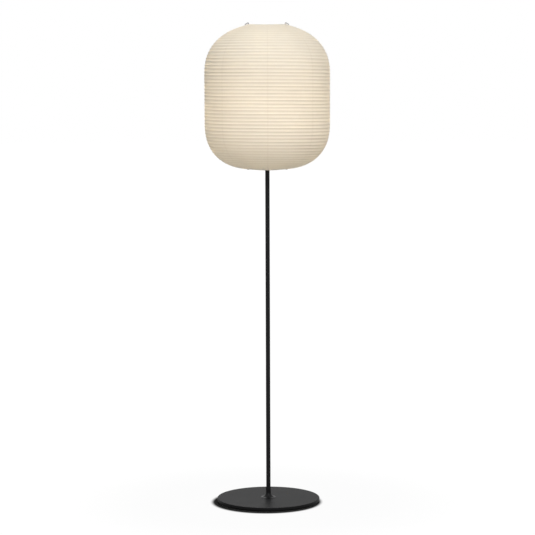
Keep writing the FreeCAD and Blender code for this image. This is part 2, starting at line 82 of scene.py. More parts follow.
class LanternSettings(bpy.types.PropertyGroup):
    crest_radius: bpy.props.FloatProperty(
        name="Crest radius", description="From the pole axis to the ribs of the upright wall",
        default=paper_high.x, unit="LENGTH")
    rim_radius: bpy.props.FloatProperty(
        name="Rim radius", description="Of both wires round the mouths, at their centre line",
        default=54 * MM, unit="LENGTH")
    top_height: bpy.props.FloatProperty(
        name="Top shoulder height",
        description="From the top rim to where the wall stands straight",
        default=131 * MM, unit="LENGTH")
    top_roundness: bpy.props.FloatProperty(
        name="Top roundness", description="Exponent of the top shoulder's superellipse",
        default=2.3)
    top_pull: bpy.props.FloatProperty(
        name="Top pull", description="How far the top rim is drawn out of the shoulder's curve",
        default=2.6 * MM, unit="LENGTH")
    top_reach: bpy.props.FloatProperty(
        name="Top reach", description="How far round the top rim the pull is felt",
        default=10 * MM, unit="LENGTH")
    bottom_height: bpy.props.FloatProperty(
        name="Bottom shoulder height",
        description="From the bottom rim to where the wall stands straight",
        default=125.1 * MM, unit="LENGTH")
    bottom_roundness: bpy.props.FloatProperty(
        name="Bottom roundness", description="Exponent of the bottom shoulder's superellipse",
        default=2.55)
    bottom_pull: bpy.props.FloatProperty(
        name="Bottom pull", description="Negative, the bottom rim is held back inside the curve",
        default=-5.9 * MM, unit="LENGTH")
    bottom_reach: bpy.props.FloatProperty(
        name="Bottom reach", description="How far round the bottom rim the pull is felt",
        default=28 * MM, unit="LENGTH")
    rib_pitch: bpy.props.FloatProperty(
        name="Rib pitch", description="Spacing of the wound rib, along the wall",
        default=9.2 * MM, unit="LENGTH")
    paper_thickness: bpy.props.FloatProperty(
        name="Paper thickness", description="Of the pasted paper wall",
        default=0.6 * MM, unit="LENGTH")
    paper_sag: bpy.props.FloatProperty(
        name="Paper sag", description="How far the paper dips between two turns of the rib",
        default=1.25 * MM, unit="LENGTH")
    top_droop: bpy.props.FloatProperty(
        name="Top droop", description="How far the top rim hangs down between its two hooks",
        default=2.2 * MM, unit="LENGTH")
    bottom_droop: bpy.props.FloatProperty(
        name="Bottom droop",
        description="How far the bottom rim hangs down between its two hooks",
        default=3.5 * MM, unit="LENGTH")
    droop_reach: bpy.props.FloatProperty(
        name="Droop reach", description="How far round a rim its droop is felt",
        default=40 * MM, unit="LENGTH")
    rib_wire_radius: bpy.props.FloatProperty(
        name="Rib wire radius", description="Of the wire wound inside the paper",
        default=0.55 * MM, unit="LENGTH")
    gores: bpy.props.IntProperty(
        name="Gores", description="Strips of paper round the lantern", default=8)
    paper_colour: bpy.props.FloatVectorProperty(
        name="Paper colour", description="Of the paper in plain light",
        subtype="COLOR", size=3, default=(0.86, 0.84, 0.79))
    glow_colour: bpy.props.FloatVectorProperty(
        name="Glow colour", description="Of light that comes through the paper",
        subtype="COLOR", size=3, default=(0.96, 0.93, 0.86))


class FrameSettings(bpy.types.PropertyGroup):
    upright_spread: bpy.props.FloatProperty(
        name="Upright spread", description="From the pole axis to each upright wire",
        default=47 * MM, unit="LENGTH")
    upright_wire_radius: bpy.props.FloatProperty(
        name="Upright wire radius", description="Of the two bent uprights",
        default=1.3 * MM, unit="LENGTH")
    rim_wire_radius: bpy.props.FloatProperty(
        name="Rim wire radius", description="Of the wires round the mouths",
        default=1.1 * MM, unit="LENGTH")
    top_hook_rise: bpy.props.FloatProperty(
        name="Top hook rise", description="Top of a top hook's centre line above the rim wire",
        default=7 * MM, unit="LENGTH")
    bottom_hook_rise: bpy.props.FloatProperty(
        name="Bottom hook rise",
        description="From the bottom rim wire down to a hook's centre line",
        default=4.4 * MM, unit="LENGTH")
    hook_notch_rise: bpy.props.FloatProperty(
        name="Hook notch rise", description="From a rim wire to the corner of the notch it lies in",
        default=1.2 * MM, unit="LENGTH")
    hook_tip_gap: bpy.props.FloatProperty(
        name="Hook tip gap", description="Between a hook's free end and the paper under it",
        default=0.6 * MM, unit="LENGTH")
    hook_spread: bpy.props.FloatProperty(
        name="Hook spread", description="From the pole axis to a hook's bend",
        default=49.5 * MM, unit="LENGTH")
    top_tip_spread: bpy.props.FloatProperty(
        name="Top tip spread", description="From the pole axis to a top hook's free end",
        default=60 * MM, unit="LENGTH")
    bottom_tip_spread: bpy.props.FloatProperty(
        name="Bottom tip spread", description="From the pole axis to a bottom hook's free end",
        default=55 * MM, unit="LENGTH")
    bend_radius: bpy.props.FloatProperty(
        name="Bend radius", description="Of every bend in the uprights",
        default=2.4 * MM, unit="LENGTH")


class FinishSettings(bpy.types.PropertyGroup):
    coat_colour: bpy.props.FloatVectorProperty(
        name="Coat colour", description="Of the powder coat on foot and pole",
        subtype="COLOR", size=3, default=(0.006, 0.006, 0.0065))
    # The same powder coat as on foot and pole, painted paler on the base: painted light on its top
    # and side.
    paler_base_coat_colour: bpy.props.FloatVectorProperty(
        name="Base colour", description="Of the powder coat on the base",
        subtype="COLOR", size=3, default=(0.010, 0.010, 0.0105))
    bulb_colour: bpy.props.FloatVectorProperty(
        name="Bulb colour", description="Of the lit bulb",
        subtype="COLOR", size=3, default=(1.0, 0.80, 0.57))
    bulb_strength: bpy.props.FloatProperty(
        name="Bulb strength", description="Brightness of the lit bulb", default=18.0)


class StageSettings(bpy.types.PropertyGroup):
    camera_distance: bpy.props.FloatProperty(
        name="Camera distance", description="From the pole axis, along the floor",
        default=5.1148, unit="LENGTH")
    camera_height: bpy.props.FloatProperty(
        name="Camera height", description="Above the floor", default=1.1149, unit="LENGTH")
    camera_side: bpy.props.FloatProperty(
        name="Camera side", description="Off the pole axis, to the right",
        default=-0.0005, unit="LENGTH")
    camera_pitch: bpy.props.FloatProperty(
        name="Camera pitch", description="Below the horizon",
        default=math.radians(5.2), subtype="ANGLE")
    camera_roll: bpy.props.FloatProperty(
        name="Camera roll", description="Clockwise, as the photographer sees it",
        default=math.radians(0.19), subtype="ANGLE")
    lens: bpy.props.FloatProperty(
        name="Lens", description="Focal length in millimetres for a 36 mm sensor", default=126.5)
    key_power: bpy.props.FloatProperty(
        name="Key power", description="Of the large soft lamp overhead", default=8.0)
    fill_power: bpy.props.FloatProperty(
        name="Fill power", description="Of the soft lamp in front", default=84.0)
    back_power: bpy.props.FloatProperty(
        name="Back power", description="Of the soft lamp behind", default=30.0)
    room_strength: bpy.props.FloatProperty(
        name="Room strength", description="Of the plain light from all round", default=0.42)


# ---- Hand tools ----

def clear_selection():
    bpy.ops.object.select_all(action="DESELECT")


def finish_of(slot):
    """The finish made here for a slot, which the loaded frame's own plain material is not."""
    return bpy.data.materials[FINISH_PREFIX + slot]


def settle(name, body, slot, *nodes):
    """Names the finished piece, puts its place into its mesh and hands it to its body."""
    piece = bpy.context.object
    bpy.ops.object.transform_apply(location=True, rotation=True, scale=True)
    piece.name = name
    piece.data.name = name
    piece.data.materials.clear()
    piece.data.materials.append(finish_of(slot))
    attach(piece, body)
    if nodes:
        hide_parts(*nodes)
    clear_selection()


def dress(finish, *nodes):
    """Gives carried-over solids their finish."""
    for node in nodes:
        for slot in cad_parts[node].material_slots:
            slot.material = finish_of(finish)


def weld(distance, turn_faces):
    """Joins the doubled points of the active piece and mends the way its faces look."""
    bpy.ops.object.mode_set(mode="EDIT")
    bpy.ops.mesh.select_all(action="SELECT")
    bpy.ops.mesh.remove_doubles(threshold=distance)
    turn_faces()
    bpy.ops.object.mode_set(mode="OBJECT")


def wire_along(points, radius, sides):
    """A round wire along points, as a mesh with closed ends."""
    line = bpy.data.curves.new("wire", "CURVE")
    line.dimensions = "3D"
    line.bevel_depth = radius
    line.bevel_resolution = (sides - 4) // 2    # each step above 0 adds two sides to four
    line.use_fill_caps = True
    run = line.splines.new("POLY")
    run.points.add(len(points) - 1)
    run.points.foreach_set("co", [value for p in points for value in (*p, 1.0)])
    wire = bpy.data.objects.new("wire", line)
    bpy.context.scene.collection.objects.link(wire)
    clear_selection()
    wire.select_set(True)
    bpy.context.view_layer.objects.active = wire
    bpy.ops.object.convert(target="MESH")
    weld(WIRE_WELD, bpy.ops.mesh.normals_make_consistent)
    bpy.ops.object.shade_smooth_by_angle(angle=WIRE_CREASE)


# ---- Lantern outline ----

def wound_angle(turn):
    """Where the rib is, round the pole, after so many turns."""
    return START_ANGLE - FULL_TURN * turn


def between_hooks(angle):
    """0 at the two hooks, 1 halfway between them."""
    return (1 - np.cos(2 * angle)) / 2


class Outline:
    """The lantern's half outline through the rim wires' centre lines, walked from bottom to top."""

    steps = 400                     # along each shoulder
    lift = 1.85 * MM                # from this line out to the crest of the ribs

    def __init__(self, lantern):
        self.rim_radius = lantern.rim_radius
        self.wall_radius = lantern.crest_radius - self.lift
        self.bottom = (bottom_rim_low.z + bottom_rim_high.z) / 2
        self.top = (top_rim_low.z + top_rim_high.z) / 2
        self.droops = (lantern.bottom_droop, lantern.top_droop, lantern.droop_reach)
        self.bottom_shoulder = (
            lantern.bottom_height, lantern.bottom_roundness, lantern.bottom_pull,
            lantern.bottom_reach)
        self.top_shoulder = (
            lantern.top_height, lantern.top_roundness, lantern.top_pull, lantern.top_reach)
        foot = self.bottom + lantern.bottom_height
        head = self.top - lantern.top_height
        below = [(r, foot - h) for r, h in reversed(self.curve(self.bottom_shoulder))]
        above = [(r, head + h) for r, h in self.curve(self.top_shoulder)]
        self.r, self.z = np.array(below + above).T
        runs = np.hypot(np.diff(self.r), np.diff(self.z))
        self.s = np.concatenate([[0.0], np.cumsum(runs)])
        self.length = self.s[-1]
        along_r = np.gradient(self.r, self.s)
        along_z = np.gradient(self.z, self.s)
        size = np.hypot(along_r, along_z)
        self.out_r = along_z / size
        self.out_z = -along_r / size
        self.turns = round(self.length / lantern.rib_pitch)
        self.pitch = self.length / self.turns

    def rise(self, radius, shoulder):
        """How far a shoulder has left the straight wall: a superellipse with a drawn neck."""
        height, roundness, pull, reach = shoulder

        def share(r):
            return max(1 - (r / self.wall_radius) ** roundness, 0) ** (1 / roundness)
        neck = pull * math.exp((self.rim_radius - radius) / reach)
        return (height - pull) * share(radius) / share(self.rim_radius) + neck

    def curve(self, shoulder):
        """Radius and rise along a shoulder, from the wall to the rim."""
        roundness = shoulder[1]
        last = math.acos((self.rim_radius / self.wall_radius) ** (roundness / 2))
        points = []
        for i in range(self.steps + 1):
            r = self.wall_radius * math.cos(last * i / self.steps) ** (2 / roundness)
            points.append((r, self.rise(r, shoulder)))
        return points

    def at(self, s, offset):
        """Radius and height of the point a distance along the outline and an offset off it."""
        r = np.interp(s, self.s, self.r) + offset * np.interp(s, self.s, self.out_r)
        z = np.interp(s, self.s, self.z) + offset * np.interp(s, self.s, self.out_z)
        return r, z

    def upright(self, s):
        """1 where the wall stands straight, 0 where it lies flat."""
        return np.interp(s, self.s, self.out_r)

    def hang(self, s, angle):
        """How far a point hangs down because the rims droop between their hooks."""
        bottom, top, reach = self.droops
        droop = bottom * np.exp(-s / reach) + top * np.exp(-(self.length - s) / reach)
        return -between_hooks(angle) * droop


# ---- Lantern paper ----

PAPER_COLUMNS = 196                 # round the lantern
OUTER_PLACES = (0, 0.1, 0.27, 0.5, 0.73, 0.9)   # of rows in a bay, which runs from rib to rib
INNER_PLACES = (0, 0.5)
HEM_STEPS = 5
HEM_TURNS = 0.4                     # that a hem counts for, beyond the rib's own turns
HEM_WRAP = math.radians(205)        # how far a hem is folded round its rim wire
SLIT_WRAP = math.radians(25)        # and how far at a hook, where the paper is slit
SLIT_REACH = math.radians(4.2)      # round the pole, from a hook to the end of its slit
FLAT_SAG = 0.45                     # share of the sag that is left where the paper lies flat
HAND_SEED = 7
DIP_RANGE = (0.78, 1.2)             # of one bay's sag, in shares of the full sag
SHIFT_RANGE = (-0.035, 0.035)       # of one turn of the rib, in shares of the pitch
WAVES = ((3, 0.25 * MM, 1.0), (5, 0.2 * MM, 0.3))   # lobes round the wall, height and phase


def lantern_section(outline):
    """Rows round the paper's section: outer wall, top hem, inner wall, bottom hem.
    Each row is (kind, bay, place in the bay or share of the hem, turns)."""
    def hem(kind, steps, first, way):
        return [(kind, 0, k / HEM_STEPS, first + way * HEM_TURNS * k / HEM_STEPS) for k in steps]

    bays = outline.turns + 1
    rows = [("outer", bay, place, bay + place) for bay in range(bays) for place in OUTER_PLACES]
    rows.append(("outer", bays - 1, 1, bays))
    rows += hem("top hem out", range(1, HEM_STEPS + 1), bays, 1)
    rows += hem("top hem in", range(HEM_STEPS, 0, -1), bays, 1)
    rows.append(("inner", bays - 1, 1, bays))
    rows += [("inner", bay, place, bay + place)
             for bay in reversed(range(bays)) for place in reversed(INNER_PLACES)]
    rows += hem("bottom hem in", range(1, HEM_STEPS + 1), 0, -1)
    rows += hem("bottom hem out", range(HEM_STEPS, -1, -1), 0, -1)
    return rows


def lay_bay_row(kind, bay, place, share, lantern, outline, dips, shifts):
    """Radius and height of a wall row's points, one for each share of the way round."""
    def rib_run(turn):
        if turn == 0:
            return np.zeros_like(share)
        if turn > outline.turns:
            return np.full_like(share, outline.length)
        shift = shifts[turn - 1] * (1 - share) + shifts[turn] * share
        return np.clip((turn - 1 + share + shift) * outline.pitch, 0, outline.length)

    low, high = rib_run(bay), rib_run(bay + 1)
    s = low + (high - low) * place
    dip = dips[bay] * (1 - share) + dips[bay + 1] * share
    depth = lantern.paper_sag * dip * ((high - low) / outline.pitch) ** 2 * 4 * place * (1 - place)
    depth *= FLAT_SAG + (1 - FLAT_SAG) * outline.upright(s) ** 2
    offset = outline.lift - depth
    if kind == "inner":
        offset = offset - lantern.paper_thickness
    r, z = outline.at(s, offset)
    return r, z + outline.hang(s, wound_angle(share))


def lay_hem_row(kind, place, share, lantern, outline):
    """Radius and height of a hem row's points, folded round a rim wire."""
    end, way, run = (-1, 1, outline.length) if kind.startswith("top") else (0, -1, 0.0)
    s = np.full_like(share, run)
    angle = wound_angle(share)
    off_hook = np.abs((angle + math.pi / 2) % math.pi - math.pi / 2)
    wrap = np.where(off_hook < SLIT_REACH, SLIT_WRAP, HEM_WRAP)
    radius = outline.lift - (lantern.paper_thickness if kind.endswith("in") else 0)
    lean = math.atan2(outline.out_z[end], outline.out_r[end]) + wrap * place * way
    centre_r, centre_z = outline.at(s, 0)
    centre_z = centre_z + outline.hang(s, angle)
    return centre_r + radius * np.cos(lean), centre_z + radius * np.sin(lean)


def lantern_paper(lantern):
    """The paper skin, rolled from a flat grid because its rib runs in one helix from rim to rim."""
    outline = Outline(lantern)
    rows = lantern_section(outline)
    hand = random.Random(HAND_SEED)
    dips = [hand.uniform(*DIP_RANGE) for _ in range(outline.turns + 2)]
    shifts = [hand.uniform(*SHIFT_RANGE) for _ in range(outline.turns + 1)]
    shifts[0] = shifts[-1] = 0.0
    clear_selection()
    bpy.ops.mesh.primitive_grid_add(
        x_subdivisions=PAPER_COLUMNS, y_subdivisions=len(rows) - 1, size=2)
    mesh = bpy.context.object.data
    flat = np.empty(len(mesh.vertices) * 3)
    mesh.vertices.foreach_get("co", flat)
    across, up, _ = flat.reshape(-1, 3).T
    column = np.rint((across + 1) / 2 * PAPER_COLUMNS).astype(int)
    row = np.rint((up + 1) / 2 * (len(rows) - 1)).astype(int)
    share = np.linspace(0, 1, PAPER_COLUMNS + 1)
    angle = wound_angle(share)
    wave = sum(height * np.sin(lobes * angle + phase) for lobes, height, phase in WAVES)
    laid = np.empty((len(rows), PAPER_COLUMNS + 1, 3))
    for i, (kind, bay, place, _) in enumerate(rows):
        if "hem" in kind:
            r, z = lay_hem_row(kind, place, share, lantern, outline)
        else:
            r, z = lay_bay_row(kind, bay, place, share, lantern, outline, dips, shifts)
        r = r + wave * np.clip((r - outline.rim_radius) / outline.wall_radius, 0, 1)
        laid[i] = np.stack([r * np.cos(angle), r * np.sin(angle), z], axis=1)
    mesh.vertices.foreach_set("co", laid[row, column].ravel())
    corner = np.empty(len(mesh.loops), int)
    mesh.loops.foreach_get("vertex_index", corner)
    turns = np.array([item[3] for item in rows])
    laid_uv = np.stack([share[column[corner]], turns[row[corner]]], axis=1)
    mesh.uv_layers[0].name = PAPER_UV
    mesh.uv_layers[0].data.foreach_set("uv", laid_uv.ravel())
    mesh.update()
    weld(PAPER_WELD, bpy.ops.mesh.flip_normals)
    bpy.ops.object.shade_smooth_by_angle(angle=SKIN_CREASE)
    settle("lantern_paper", "lantern", "lantern_paper", "paper_lantern")


# ---- Lantern wires ----

def rib_wire(lantern):
    """One wire, wound from rim to rim against the inside of the paper."""
    outline = Outline(lantern)
    points_per_turn = 60
    free_end = 0.4                  # turns that the wire stops short of each rim
    inside = outline.lift - lantern.paper_thickness - lantern.rib_wire_radius - TOUCH_GAP
    count = int((outline.turns - 2 * free_end) * points_per_turn)
    points = []
    for i in range(count + 1):
        turn = free_end + i / points_per_turn
        angle = wound_angle(turn)
        s = turn * outline.pitch
        r, z = outline.at(s, inside)
        points.append((r * math.cos(angle), r * math.sin(angle), z + outline.hang(s, angle)))
    wire_along(points, lantern.rib_wire_radius, sides=6)
    settle("lantern_rib_wire", "lantern", "frame_zinc")


def rim_wire(name, node, level, droop, outline, wires):
    """A wire ring that hangs a little between the two hooks that carry it."""
    clear_selection()
    bpy.ops.mesh.primitive_torus_add(
        major_segments=144, minor_segments=12, major_radius=outline.rim_radius,
        minor_radius=wires.rim_wire_radius, location=(0, 0, level))
    for vertex in bpy.context.object.data.vertices:
        vertex.co.z -= droop * between_hooks(math.atan2(vertex.co.y, vertex.co.x))
    bpy.ops.object.shade_smooth_by_angle(angle=SKIN_CREASE)
    settle(name, "lantern", "frame_zinc", node)


def bent_path(corners, bend_radius, steps=7):
    """Points along straight runs in the XZ plane, with a round bend at every corner."""
    most_trim = 0.45                # of a run, so that two bends never meet
    corners = [Vector((x, 0, z)) for x, z in corners]
    path = [corners[0]]
    for before, corner, after in zip(corners, corners[1:], corners[2:]):
        back = (before - corner).normalized()
        ahead = (after - corner).normalized()
        half = (math.pi - back.angle(ahead)) / 2
        shorter = min((before - corner).length, (after - corner).length)
        trim = min(bend_radius * math.tan(half), shorter * most_trim)
        bend = trim / math.tan(half)
        inward = (back + ahead).normalized()
        centre = corner + inward * math.hypot(bend, trim)
        start = corner + back * trim - centre
        end = corner + ahead * trim - centre
        swing = start.angle(end)
        turn_axis = start.cross(end).normalized()
        for k in range(steps + 1):
            path.append(centre + Matrix.Rotation(swing * k / steps, 3, turn_axis) @ start)
    path.append(corners[-1])
    return path


def hook_corners(level, outwards, rise, tip_spread, shoulder, outline, wires):
    """From a hook's free tip to its knee: over the rim wire, into the notch and under it."""
    paper = outline.rise(tip_spread, shoulder) - outline.rise(outline.rim_radius, shoulder)
    tip = paper + outline.lift + wires.upright_wire_radius + wires.hook_tip_gap
    knee = wires.rim_wire_radius + wires.upright_wire_radius + TOUCH_GAP
    straight = knee + wires.rim_wire_radius + 3 * wires.upright_wire_radius
    return [
        (tip_spread, level + outwards * tip),
        (wires.hook_spread, level + outwards * rise),
        (wires.hook_spread, level + outwards * wires.hook_notch_rise),
        (outline.rim_radius - wires.rim_wire_radius, level - outwards * knee),
        (wires.upright_spread, level - outwards * straight),
    ]


def frame_upright(name, node, side, outline, wires):
    """A bent wire that runs through the carrier's arm, with a hook over each rim."""
    top = hook_corners(outline.top, 1, wires.top_hook_rise, wires.top_tip_spread,
                       outline.top_shoulder, outline, wires)
    bottom = hook_corners(outline.bottom, -1, wires.bottom_hook_rise, wires.bottom_tip_spread,
                          outline.bottom_shoulder, outline, wires)
    corners = [(side * x, z) for x, z in top + bottom[::-1]]
    wire_along(bent_path(corners, wires.bend_radius), wires.upright_wire_radius, sides=12)
    settle(name, "lantern", "frame_zinc", node)


# ---- Shader nodes ----

def feed(tree, socket, value):
    """Links a socket to another node's output, or sets it to a plain value."""
    if isinstance(value, bpy.types.NodeSocket):
        tree.links.new(value, socket)
    else:
        socket.default_value = value


def add_node(tree, kind, inputs=None, **settings):
    """A node with its settings made and its inputs fed, each by label or number."""
    node = tree.nodes.new(kind)
    for key, value in settings.items():
        setattr(node, key, value)
    for label, value in (inputs or {}).items():
        feed(tree, node.inputs[label], value)
    return node


def new_group(name, inputs, outputs):
    """An empty node group with named sockets: the tree, its input node and its output node."""
    tree = bpy.data.node_groups.new(name, "ShaderNodeTree")
    for label, kind, *default in inputs:
        socket = tree.interface.new_socket(label, in_out="INPUT", socket_type=kind)
        if default:
            socket.default_value = default[0]
    for label, kind in outputs:
        tree.interface.new_socket(label, in_out="OUTPUT", socket_type=kind)
    return tree, tree.nodes.new("NodeGroupInput"), tree.nodes.new("NodeGroupOutput")


def math_node(tree, operation, *values, clamp=False):
    node = add_node(tree, "ShaderNodeMath", dict(enumerate(values)),
                    operation=operation, use_clamp=clamp)
    return node.outputs[0]


def mix_colours(tree, share, first, second):
    """Sockets 0, 6 and 7 are the share and the two colours, and output 2 is a colour."""
    node = add_node(tree, "ShaderNodeMix", {0: share, 6: first, 7: second}, data_type="RGBA")
    return node.outputs[2]


def noise(tree, where, scale, detail=2.0, roughness=0.5, distortion=0.0):
    node = add_node(tree, "ShaderNodeTexNoise", {
        "Vector": where, "Scale": scale, "Detail": detail, "Roughness": roughness,
        "Distortion": distortion}, noise_dimensions="3D")
    return node.outputs["Fac"]


def ramp(tree, value, low, high, to_low, to_high):
    """A smooth step from to_low to to_high while the value goes from low to high."""
    node = add_node(tree, "ShaderNodeMapRange", {
        "Value": value, "From Min": low, "From Max": high, "To Min": to_low,
        "To Max": to_high}, interpolation_type="SMOOTHSTEP")
    return node.outputs["Result"]


def off_middle(tree, value):
    """How far a value that repeats every 1 is from the middle of its repeat."""
    share = math_node(tree, "FRACT", value)
    return math_node(tree, "ABSOLUTE", math_node(tree, "SUBTRACT", share, 0.5))


def blend_shaders(tree, share, first, second, output="ShaderNodeOutputMaterial"):
    """Blends two shaders into the tree's output."""
    blend = add_node(tree, "ShaderNodeMixShader", {0: share, 1: first, 2: second})
    add_node(tree, output, {"Surface": blend.outputs["Shader"]})


def make_grain_group():
    """Fine grain over broad patches: a colour, a roughness and a height."""
    grain_weight = 0.6              # in the roughness; the patches have the rest
    noise_gain = 4.0                # the noise stays near its middle, so its swing is widened
    tree, given, result = new_group(
        "surface_grain",
        [("Vector", "NodeSocketVector"), ("Colour", "NodeSocketColor"),
         ("Patch Colour", "NodeSocketColor"), ("Grain Scale", "NodeSocketFloat"),
         ("Patch Scale", "NodeSocketFloat"), ("Roughness", "NodeSocketFloat"),
         ("Roughness Spread", "NodeSocketFloat")],
        [("Colour", "NodeSocketColor"), ("Roughness", "NodeSocketFloat"),
         ("Height", "NodeSocketFloat")])
    where = given.outputs["Vector"]
    grain = noise(tree, where, given.outputs["Grain Scale"], detail=3.0, roughness=0.55)
    patch = noise(tree, where, given.outputs["Patch Scale"], detail=4.0, roughness=0.6)
    share = ramp(tree, patch, 0.35, 0.7, 0.0, 1.0)
    colour = mix_colours(tree, share, given.outputs["Colour"], given.outputs["Patch Colour"])
    both = math_node(tree, "ADD", math_node(tree, "MULTIPLY", grain, grain_weight),
                     math_node(tree, "MULTIPLY", patch, 1 - grain_weight))
    centred = math_node(tree, "SUBTRACT", both, NOISE_MIDDLE)
    swing = math_node(tree, "MULTIPLY", given.outputs["Roughness Spread"], noise_gain)
    rough = math_node(tree, "ADD", given.outputs["Roughness"],
                      math_node(tree, "MULTIPLY", centred, swing), clamp=True)
    for label, value in (("Colour", colour), ("Roughness", rough), ("Height", grain)):
        feed(tree, result.inputs[label], value)


def make_fibre_group():
    """Long fibres tangled through handmade paper: two masks and a height."""
    thread_width = 0.03             # in the noise, on each side of its middle
    fine_times = 22.0               # finer than the fibres
    tree, given, result = new_group(
        "paper_fibre",
        [("Vector", "NodeSocketVector"), ("Fibre Scale", "NodeSocketFloat", 60.0),
         ("Cloud Scale", "NodeSocketFloat", 14.0)],
        [("Fibre", "NodeSocketFloat"), ("Cloud", "NodeSocketFloat"),
         ("Height", "NodeSocketFloat")])
    where, scale = given.outputs["Vector"], given.outputs["Fibre Scale"]
    tangle = noise(tree, where, scale, detail=6.0, roughness=0.65, distortion=3.0)
    thread = math_node(tree, "ABSOLUTE", math_node(tree, "SUBTRACT", tangle, NOISE_MIDDLE))
    fibre = ramp(tree, thread, 0.0, thread_width, 1.0, 0.0)
    cloud = noise(tree, where, given.outputs["Cloud Scale"], detail=5.0, roughness=0.6,
                  distortion=0.6)
    fine = noise(tree, where, math_node(tree, "MULTIPLY", scale, fine_times))
    height = math_node(tree, "ADD", math_node(tree, "MULTIPLY", fibre, 0.5),
                       math_node(tree, "MULTIPLY", fine, 0.5))
    for label, value in (("Fibre", fibre), ("Cloud", cloud), ("Height", height)):
        feed(tree, result.inputs[label], value)


# ---- Finishes ----

def new_finish(name):
    """The empty node tree of a new finish."""
    finish = bpy.data.materials.new(FINISH_PREFIX + name)
    finish.use_nodes = True
    finish.node_tree.nodes.clear()
    return finish.node_tree


def grained(name, colour, patch, grain_mm, patch_mm, roughness, spread, bump_mm,
            stretch=(1, 1, 1), **sockets):
    """A finish with the shared grain; sockets are plain values of the shader."""
    tree = new_finish(name)
    place = add_node(tree, "ShaderNodeTexCoord")
    where = add_node(tree, "ShaderNodeMapping", {
        "Vector": place.outputs["Object"], "Scale": stretch})
    grain = add_node(tree, "ShaderNodeGroup", {
        "Vector": where.outputs["Vector"], "Colour": (*colour, 1), "Patch Colour": (*patch, 1),
        "Grain Scale": MM_PER_METRE / grain_mm, "Patch Scale": MM_PER_METRE / patch_mm,
        "Roughness": roughness, "Roughness Spread": spread,
    }, node_tree=bpy.data.node_groups["surface_grain"])
    bump = add_node(tree, "ShaderNodeBump", {
        "Strength": 1.0, "Distance": bump_mm * MM, "Height": grain.outputs["Height"]})
    shader = add_node(tree, "ShaderNodeBsdfPrincipled", {
        "Base Color": grain.outputs["Colour"], "Roughness": grain.outputs["Roughness"],
        "Normal": bump.outputs["Normal"]})
    for label, value in sockets.items():
        shader.inputs[label.replace("_", " ")].default_value = value
    add_node(tree, "ShaderNodeOutputMaterial", {"Surface": shader.outputs["BSDF"]})


def marked_colour(tree, marks, colour, clouds, fibre_share, fibre_colour, rib_shadow_share,
                  seam_share, seam_and_shadow_colour):
    """A colour of the paper with its clouds, fibres and seams, and the painted shadow line of the
    rib wire laid over it.
    """
    cloud, fibre, rib, seam = marks
    low, high = clouds
    mixed = mix_colours(tree, cloud, (*[c * low for c in colour], 1),
                        (*[min(c * high, 1) for c in colour], 1))
    mixed = mix_colours(tree, math_node(tree, "MULTIPLY", fibre, fibre_share), mixed, fibre_colour)
    # painted shadow of the rib wire, together with the darker seams where the strips overlap
    seam_and_shadow_lines = math_node(tree, "MULTIPLY_ADD", rib, rib_shadow_share,
                      math_node(tree, "MULTIPLY", seam, seam_share), clamp=True)
    return mix_colours(tree, seam_and_shadow_lines, mixed, seam_and_shadow_colour)


def paper_finish(lantern):
    """Handmade paper that glows: fibres, clouds, pasted strips and a shade line over the rib."""
    seam_place = 0.511              # of a strip, which puts a seam just beside the front
    rib_shadow_edge = (0.40, 0.49)         # of a turn off its middle, where the painted shadow line over the rib grows
    seam_edge = (0.012, 0.017)      # of a strip off the seam, where the seam fades
    seam_height = 0.25              # in the bump, against 1 for the whole of the fibres
    bump_depth = 0.06 * MM
    through_share = 0.5             # of the light that goes through, the rest comes back
    tree = new_finish("lantern_paper")
    place = add_node(tree, "ShaderNodeTexCoord")
    strips = add_node(tree, "ShaderNodeUVMap", uv_map=PAPER_UV)
    split = add_node(tree, "ShaderNodeSeparateXYZ", {"Vector": strips.outputs["UV"]})
    fibre = add_node(tree, "ShaderNodeGroup", {"Vector": place.outputs["Object"]},
                     node_tree=bpy.data.node_groups["paper_fibre"])
    # painted shadow: a dark line along the rib wire, laid into the paper's colours
    rib = ramp(tree, off_middle(tree, split.outputs["Y"]), *rib_shadow_edge, 0.0, 1.0)
    strips_round = math_node(
        tree, "MULTIPLY_ADD", split.outputs["X"], lantern.gores, seam_place)
    seam = ramp(tree, off_middle(tree, strips_round), *seam_edge, 1.0, 0.0)
    marks = (fibre.outputs["Cloud"], fibre.outputs["Fibre"], rib, seam)
    pale = marked_colour(
        tree, marks, lantern.paper_colour, clouds=(0.97, 1.04), fibre_share=0.25,
        fibre_colour=(0.97, 0.94, 0.88, 1), rib_shadow_share=0.16, seam_share=0.015,
        seam_and_shadow_colour=(0.46, 0.38, 0.29, 1))
    # the rib's painted shadow is darkest in the light that comes through the paper
    glow = marked_colour(
        tree, marks, lantern.glow_colour, clouds=(0.93, 1.05), fibre_share=0.3,
        fibre_colour=(0.80, 0.70, 0.52, 1), rib_shadow_share=0.35, seam_share=0.06,
        seam_and_shadow_colour=(0.30, 0.22, 0.13, 1))
    height = math_node(tree, "MULTIPLY_ADD", seam, seam_height, fibre.outputs["Height"])
    bump = add_node(tree, "ShaderNodeBump", {"Distance": bump_depth, "Height": height})
    shader = add_node(tree, "ShaderNodeBsdfPrincipled", {
        "Base Color": pale, "Roughness": 0.85, "Specular IOR Level": 0.1,
        "Normal": bump.outputs["Normal"]})
    through = add_node(tree, "ShaderNodeBsdfTranslucent", {"Color": glow})
    blend_shaders(tree, through_share, shader.outputs["BSDF"], through.outputs["BSDF"])


